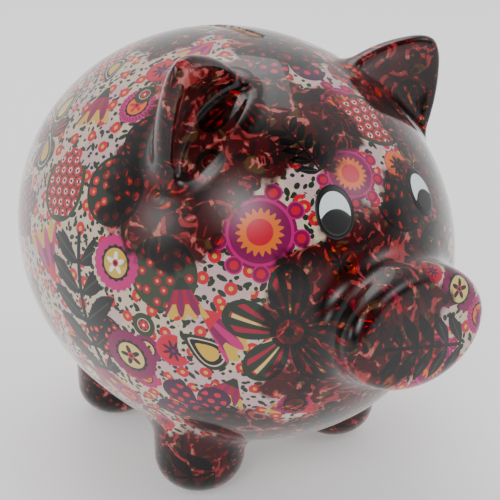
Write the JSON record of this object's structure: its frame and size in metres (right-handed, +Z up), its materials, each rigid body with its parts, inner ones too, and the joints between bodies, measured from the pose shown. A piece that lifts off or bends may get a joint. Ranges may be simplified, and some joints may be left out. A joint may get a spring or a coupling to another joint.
{
  "type": "piggy bank",
  "caption": "Round hollow ceramic pig money bank with coin slot, cupped ears, oval snout, stub legs and a coin-turned belly lock.",
  "frame": {"origin": "on the floor under the middle of the pig", "axes": "+Z up, the pig faces -Y, +X to the pig's left; X = 0 is its plane of symmetry"},
  "size_m": [0.158, 0.2139, 0.1665],
  "materials": {
    "patterned_glaze": "all-over floral decal under clear gloss glaze",
    "black_enamel": "fired gloss enamel",
    "white_enamel": "fired gloss enamel",
    "charcoal_enamel": "fired gloss enamel",
    "nickel_plate": "bright nickel plate",
    "zinc_steel": "zinc-plated steel",
    "brass_parts": "plain turned and stamped brass",
    "black_rubber": "soft moulded rubber"
  },
  "bodies": {
    "pig": {"body": "patterned_glaze", "snout": "patterned_glaze", "tail": "patterned_glaze", "ear_left": "patterned_glaze", "ear_right": "patterned_glaze", "leg_front_left": "patterned_glaze", "leg_front_right": "patterned_glaze", "leg_rear_left": "patterned_glaze", "leg_rear_right": "patterned_glaze", "eye_outline_left": "black_enamel", "eye_white_left": "white_enamel", "eye_pupil_left": "charcoal_enamel", "eye_outline_right": "black_enamel", "eye_white_right": "white_enamel", "eye_pupil_right": "charcoal_enamel"},
    "lock": {"lock_housing": "nickel_plate", "lock_gasket": "black_rubber", "lock_back_plate": "zinc_steel", "lock_screws": "zinc_steel"},
    "knob": {"lock_knob": "nickel_plate", "lock_cam": "brass_parts"},
    "bolt_front": {"lock_bolt_front": "brass_parts"},
    "bolt_rear": {"lock_bolt_rear": "brass_parts"}
  },
  "joints": [
    {"name": "closure_slide", "type": "slide", "parent": "pig", "child": "lock", "axis": [0, 0, -1], "range_m": [0, 0.03]},
    {"name": "knob_turn", "type": "hinge", "parent": "lock", "child": "knob", "pos_m": [0, 0.0046, 0.012], "axis": [0, 0, 1], "range_deg": [0, 90]},
    {"name": "bolt_front_slide", "type": "slide", "parent": "lock", "child": "bolt_front", "axis": [0, -1, 0], "range_m": [0, 0.00451]},
    {"name": "bolt_rear_slide", "type": "slide", "parent": "lock", "child": "bolt_rear", "axis": [0, 1, 0], "range_m": [0, 0.00451]}
  ],
  "couplings": [
    {"joint": "bolt_front_slide", "follows": "knob_turn", "m_per_rad": 0.0028648},
    {"joint": "bolt_rear_slide", "follows": "knob_turn", "m_per_rad": 0.0028648}
  ]
}
